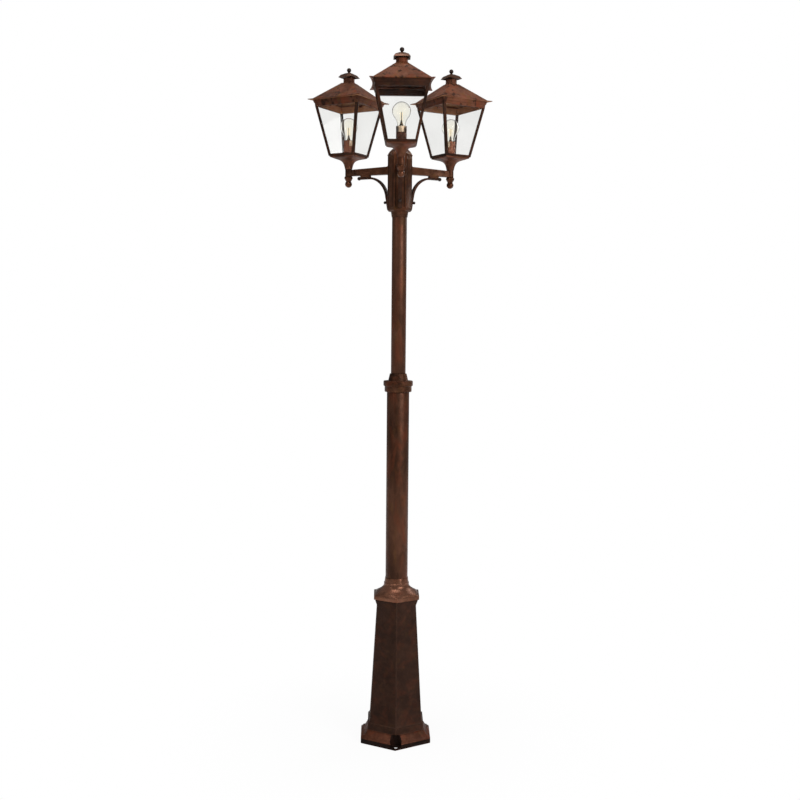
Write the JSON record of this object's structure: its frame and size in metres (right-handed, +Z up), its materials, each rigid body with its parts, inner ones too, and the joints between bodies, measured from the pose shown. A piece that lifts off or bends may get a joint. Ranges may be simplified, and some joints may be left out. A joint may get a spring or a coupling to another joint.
{
  "type": "triple head lamp post",
  "caption": "Garden lamp post: hexagonal cast pedestal, stacked round tubes, and curved-bracket arms that carry tapered square glass lanterns with clear bulbs.",
  "frame": {"origin": "on the post's axis at ground level, centre of the anchor pattern", "axes": "+Z up along the post; the front arm points along -Y, +X to the right seen from the front"},
  "size_m": [0.6272, 0.5432, 2.3027],
  "materials": {
    "casting": "rust-brown antique patina, semi-gloss",
    "post_tube": "rust-brown antique patina, semi-gloss",
    "fasteners": "dark brown coating",
    "pane_glass": "clear, smooth",
    "bulb_glass": "clear, smooth",
    "lamp_core": "glass stem with filament wires",
    "lamp_cap": "rolled thread, satin",
    "porcelain": "white glazed porcelain",
    "terminal": "moulded insulator"
  },
  "bodies": {
    "post": {"base_pedestal": "casting", "pedestal_cap": "casting", "lower_tube": "post_tube", "post_collar": "casting", "upper_tube": "post_tube", "hub_body": "casting", "terminal_block": "terminal", "arm_nuts": "fasteners", "set_screws": "fasteners", "arm_front": "casting", "bracket_front": "casting", "bracket_knobs_front": "fasteners", "stem_front": "fasteners", "pendant_front": "casting", "arm_left": "casting", "bracket_left": "casting", "bracket_knobs_left": "fasteners", "stem_left": "fasteners", "pendant_left": "casting", "arm_right": "casting", "bracket_right": "casting", "bracket_knobs_right": "fasteners", "stem_right": "fasteners", "pendant_right": "casting"},
    "hub_lid": {"hub_cap": "casting"},
    "lantern_front": {"lantern_cup_front": "casting", "lantern_frame_front": "casting", "lantern_glass_front": "pane_glass", "lamp_sleeve_front": "casting", "lamp_holder_front": "porcelain"},
    "roof_front": {"lantern_roof_front": "casting", "vent_cap_front": "casting"},
    "finial_front": {"finial_front": "casting"},
    "lamp_core_front": {"filament_front": "lamp_core"},
    "lamp_bulb_front": {"bulb_glass_front": "bulb_glass", "bulb_cap_front": "lamp_cap"},
    "lantern_left": {"lantern_cup_left": "casting", "lantern_frame_left": "casting", "lantern_glass_left": "pane_glass", "lamp_sleeve_left": "casting", "lamp_holder_left": "porcelain"},
    "roof_left": {"lantern_roof_left": "casting", "vent_cap_left": "casting"},
    "finial_left": {"finial_left": "casting"},
    "lamp_core_left": {"filament_left": "lamp_core"},
    "lamp_bulb_left": {"bulb_glass_left": "bulb_glass", "bulb_cap_left": "lamp_cap"},
    "lantern_right": {"lantern_cup_right": "casting", "lantern_frame_right": "casting", "lantern_glass_right": "pane_glass", "lamp_sleeve_right": "casting", "lamp_holder_right": "porcelain"},
    "roof_right": {"lantern_roof_right": "casting", "vent_cap_right": "casting"},
    "finial_right": {"finial_right": "casting"},
    "lamp_core_right": {"filament_right": "lamp_core"},
    "lamp_bulb_right": {"bulb_glass_right": "bulb_glass", "bulb_cap_right": "lamp_cap"}
  },
  "joints": [
    {"name": "hub_lid_lift", "type": "slide", "parent": "post", "child": "hub_lid", "axis": [0, 0, 1], "range_m": [0, 0.06]},
    {"name": "lantern_swivel_front", "type": "hinge", "parent": "post", "child": "lantern_front", "pos_m": [0, -0.202, 2], "axis": [0, 0, 1], "range_deg": [-90, 90]},
    {"name": "roof_lift_front", "type": "slide", "parent": "lantern_front", "child": "roof_front", "axis": [0, 0, 1], "range_m": [0, 0.15]},
    {"name": "finial_turn_front", "type": "hinge", "parent": "roof_front", "child": "finial_front", "pos_m": [0, -0.202, 2.29], "axis": [0, 0, 1], "range_deg": [0, 4680]},
    {"name": "bulb_lift_front", "type": "slide", "parent": "lantern_front", "child": "lamp_core_front", "axis": [0, 0, 1], "range_m": [0, 0.01086]},
    {"name": "bulb_turn_front", "type": "hinge", "parent": "lamp_core_front", "child": "lamp_bulb_front", "pos_m": [0, -0.202, 2.05], "axis": [0, 0, 1], "range_deg": [0, 1085]},
    {"name": "lantern_swivel_left", "type": "hinge", "parent": "post", "child": "lantern_left", "pos_m": [-0.17494, 0.101, 2], "axis": [0, 0, 1], "range_deg": [-90, 90]},
    {"name": "roof_lift_left", "type": "slide", "parent": "lantern_left", "child": "roof_left", "axis": [0, 0, 1], "range_m": [0, 0.15]},
    {"name": "finial_turn_left", "type": "hinge", "parent": "roof_left", "child": "finial_left", "pos_m": [-0.17494, 0.101, 2.29], "axis": [0, 0, 1], "range_deg": [0, 4680]},
    {"name": "bulb_lift_left", "type": "slide", "parent": "lantern_left", "child": "lamp_core_left", "axis": [0, 0, 1], "range_m": [0, 0.01086]},
    {"name": "bulb_turn_left", "type": "hinge", "parent": "lamp_core_left", "child": "lamp_bulb_left", "pos_m": [-0.17494, 0.101, 2.05], "axis": [0, 0, 1], "range_deg": [0, 1085]},
    {"name": "lantern_swivel_right", "type": "hinge", "parent": "post", "child": "lantern_right", "pos_m": [0.17494, 0.101, 2], "axis": [0, 0, 1], "range_deg": [-90, 90]},
    {"name": "roof_lift_right", "type": "slide", "parent": "lantern_right", "child": "roof_right", "axis": [0, 0, 1], "range_m": [0, 0.15]},
    {"name": "finial_turn_right", "type": "hinge", "parent": "roof_right", "child": "finial_right", "pos_m": [0.17494, 0.101, 2.29], "axis": [0, 0, 1], "range_deg": [0, 4680]},
    {"name": "bulb_lift_right", "type": "slide", "parent": "lantern_right", "child": "lamp_core_right", "axis": [0, 0, 1], "range_m": [0, 0.01086]},
    {"name": "bulb_turn_right", "type": "hinge", "parent": "lamp_core_right", "child": "lamp_bulb_right", "pos_m": [0.17494, 0.101, 2.05], "axis": [0, 0, 1], "range_deg": [0, 1085]}
  ],
  "couplings": [
    {"joint": "bulb_turn_front", "follows": "bulb_lift_front", "rad_per_m": 1735.7},
    {"joint": "bulb_turn_left", "follows": "bulb_lift_left", "rad_per_m": 1735.7},
    {"joint": "bulb_turn_right", "follows": "bulb_lift_right", "rad_per_m": 1735.7}
  ]
}
